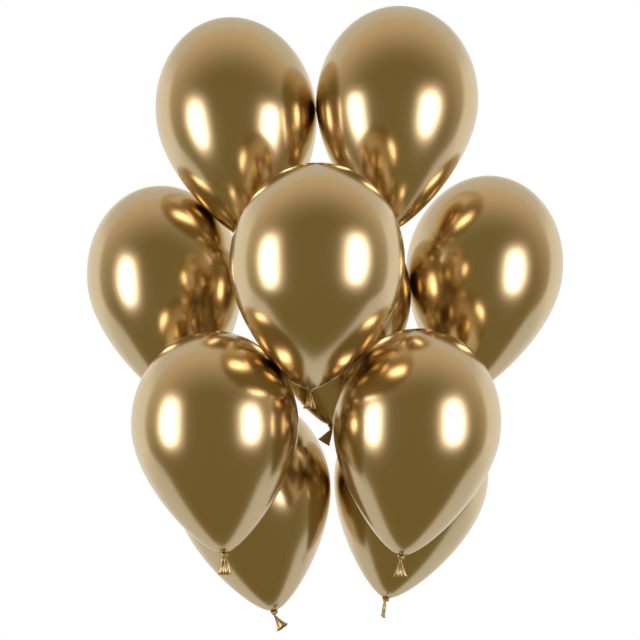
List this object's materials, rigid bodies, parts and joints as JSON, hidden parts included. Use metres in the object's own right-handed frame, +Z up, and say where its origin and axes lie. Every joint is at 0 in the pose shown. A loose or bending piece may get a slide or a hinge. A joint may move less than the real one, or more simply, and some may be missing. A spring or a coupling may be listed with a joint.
{
  "type": "balloon bunch",
  "caption": "Bunch of mirror-gold latex balloons stuck together skin to skin, each with its knot, flattened tail and rolled lip.",
  "frame": {"origin": "where the neck of the balloon at the middle of the back meets its knot", "axes": "+X to the right of the bunch seen from its front, +Y to its back, +Z up"},
  "size_m": [0.913, 0.7091, 1.1787],
  "materials": {
    "gold_film": "mirror gold, stretched latex film",
    "gold_thick": "satin gold, unstretched latex",
    "clear_glue": "clear soft adhesive"
  },
  "bodies": {
    "back_centre": {"back_centre_skin": "gold_film", "back_centre_knot": "gold_thick", "front_centre_glue_dot": "clear_glue", "middle_right_glue_dot": "clear_glue", "top_left_glue_dot": "clear_glue", "low_right_glue_dot": "clear_glue"},
    "back_centre_tail": {"back_centre_tail": "gold_thick", "back_centre_lip": "gold_thick"},
    "front_centre": {"front_centre_skin": "gold_film", "front_centre_knot": "gold_thick", "low_left_glue_dot": "clear_glue"},
    "front_centre_tail": {"front_centre_tail": "gold_thick", "front_centre_lip": "gold_thick"},
    "top_left": {"top_left_skin": "gold_film", "top_left_knot": "gold_thick", "top_right_glue_dot": "clear_glue", "middle_left_glue_dot": "clear_glue"},
    "top_left_tail": {"top_left_tail": "gold_thick", "top_left_lip": "gold_thick"},
    "top_right": {"top_right_skin": "gold_film", "top_right_knot": "gold_thick"},
    "top_right_tail": {"top_right_tail": "gold_thick", "top_right_lip": "gold_thick"},
    "middle_left": {"middle_left_skin": "gold_film", "middle_left_knot": "gold_thick"},
    "middle_left_tail": {"middle_left_tail": "gold_thick", "middle_left_lip": "gold_thick"},
    "middle_right": {"middle_right_skin": "gold_film", "middle_right_knot": "gold_thick"},
    "middle_right_tail": {"middle_right_tail": "gold_thick", "middle_right_lip": "gold_thick"},
    "low_left": {"low_left_skin": "gold_film", "low_left_knot": "gold_thick", "bottom_left_glue_dot": "clear_glue"},
    "low_left_tail": {"low_left_tail": "gold_thick", "low_left_lip": "gold_thick"},
    "low_right": {"low_right_skin": "gold_film", "low_right_knot": "gold_thick", "bottom_right_glue_dot": "clear_glue"},
    "low_right_tail": {"low_right_tail": "gold_thick", "low_right_lip": "gold_thick"},
    "bottom_left": {"bottom_left_skin": "gold_film", "bottom_left_knot": "gold_thick"},
    "bottom_left_tail": {"bottom_left_tail": "gold_thick", "bottom_left_lip": "gold_thick"},
    "bottom_right": {"bottom_right_skin": "gold_film", "bottom_right_knot": "gold_thick"},
    "bottom_right_tail": {"bottom_right_tail": "gold_thick", "bottom_right_lip": "gold_thick"}
  },
  "joints": [
    {"name": "front_centre_rock", "type": "hinge", "parent": "back_centre", "child": "front_centre", "pos_m": [-0.01512, -0.14952, 0.25097], "axis": [-0.8589, 0.1141, 0.4993], "range_deg": [0, 5], "stiffness_Nm_per_rad": 2},
    {"name": "middle_right_rock", "type": "hinge", "parent": "back_centre", "child": "middle_right", "pos_m": [0.14695, 0.02518, 0.26458], "axis": [0.1934, -0.9469, -0.257], "range_deg": [0, 5], "stiffness_Nm_per_rad": 2},
    {"name": "top_left_rock", "type": "hinge", "parent": "back_centre", "child": "top_left", "pos_m": [-0.10545, -0.02524, 0.36302], "axis": [-0.6529, 0.1099, -0.7495], "range_deg": [0, 5], "stiffness_Nm_per_rad": 2},
    {"name": "low_right_rock", "type": "hinge", "parent": "back_centre", "child": "low_right", "pos_m": [0.07077, -0.08055, 0.10565], "axis": [-0.6388, -0.7364, 0.2229], "range_deg": [0, 5], "stiffness_Nm_per_rad": 2},
    {"name": "top_right_rock", "type": "hinge", "parent": "top_left", "child": "top_right", "pos_m": [-0.02884, -0.05798, 0.58871], "axis": [-0.1132, -0.9594, -0.2583], "range_deg": [0, 5], "stiffness_Nm_per_rad": 2},
    {"name": "middle_left_rock", "type": "hinge", "parent": "top_left", "child": "middle_left", "pos_m": [-0.23236, -0.00183, 0.40719], "axis": [0.066, 0.9282, 0.3662], "range_deg": [0, 5], "stiffness_Nm_per_rad": 2},
    {"name": "low_left_rock", "type": "hinge", "parent": "front_centre", "child": "low_left", "pos_m": [-0.0978, -0.23135, 0.11721], "axis": [-0.6254, -0.3554, 0.6946], "range_deg": [0, 5], "stiffness_Nm_per_rad": 2},
    {"name": "bottom_left_rock", "type": "hinge", "parent": "low_left", "child": "bottom_left", "pos_m": [-0.18192, -0.07008, -0.05538], "axis": [-0.0723, 0.369, 0.9266], "range_deg": [0, 5], "stiffness_Nm_per_rad": 2},
    {"name": "bottom_right_rock", "type": "hinge", "parent": "low_right", "child": "bottom_right", "pos_m": [0.15437, -0.03638, -0.04836], "axis": [-0.0107, -0.3289, -0.9443], "range_deg": [0, 5], "stiffness_Nm_per_rad": 2},
    {"name": "back_centre_tail_bend", "type": "hinge", "parent": "back_centre", "child": "back_centre_tail", "pos_m": [0, 0, -0.01155], "axis": [0.848, 0, -0.53], "range_deg": [-40, 40], "stiffness_Nm_per_rad": 0.001},
    {"name": "front_centre_tail_bend", "type": "hinge", "parent": "front_centre", "child": "front_centre_tail", "pos_m": [-0.03988, -0.20594, 0.0677], "axis": [1, 0, 0], "range_deg": [-40, 40], "stiffness_Nm_per_rad": 0.001},
    {"name": "top_left_tail_bend", "type": "hinge", "parent": "top_left", "child": "top_left_tail", "pos_m": [-0.13361, -0.03361, 0.33026], "axis": [0.5812, 0, -0.8137], "range_deg": [0, 40], "stiffness_Nm_per_rad": 0.001},
    {"name": "top_right_tail_bend", "type": "hinge", "parent": "top_right", "child": "top_right_tail", "pos_m": [0.10266, -0.078, 0.35206], "axis": [0.5812, 0, 0.8137], "range_deg": [-10, 40], "stiffness_Nm_per_rad": 0.001},
    {"name": "middle_left_tail_bend", "type": "hinge", "parent": "middle_left", "child": "middle_left_tail", "pos_m": [-0.28375, 0.042, 0.02517], "axis": [0.9363, 0, -0.3511], "range_deg": [-40, 40], "stiffness_Nm_per_rad": 0.001},
    {"name": "middle_right_tail_bend", "type": "hinge", "parent": "middle_right", "child": "middle_right_tail", "pos_m": [0.25438, 0.05, 0.04583], "axis": [0.7071, 0, 0.7071], "range_deg": [-20, 40], "stiffness_Nm_per_rad": 0.001},
    {"name": "low_left_tail_bend", "type": "hinge", "parent": "low_left", "child": "low_left_tail", "pos_m": [-0.19149, -0.20712, -0.22509], "axis": [1, 0, 0], "range_deg": [-40, 40], "stiffness_Nm_per_rad": 0.001},
    {"name": "low_right_tail_bend", "type": "hinge", "parent": "low_right", "child": "low_right_tail", "pos_m": [0.12129, -0.18866, -0.23166], "axis": [1, 0, 0], "range_deg": [-40, 40], "stiffness_Nm_per_rad": 0.001},
    {"name": "bottom_left_tail_bend", "type": "hinge", "parent": "bottom_left", "child": "bottom_left_tail", "pos_m": [-0.10943, 0.05307, -0.37277], "axis": [0.8137, 0, 0.5812], "range_deg": [-40, 40], "stiffness_Nm_per_rad": 0.001},
    {"name": "bottom_right_tail_bend", "type": "hinge", "parent": "bottom_right", "child": "bottom_right_tail", "pos_m": [0.10432, 0.08604, -0.35353], "axis": [0.4193, -0.9063, -0.0524], "range_deg": [-40, 40], "stiffness_Nm_per_rad": 0.001}
  ]
}
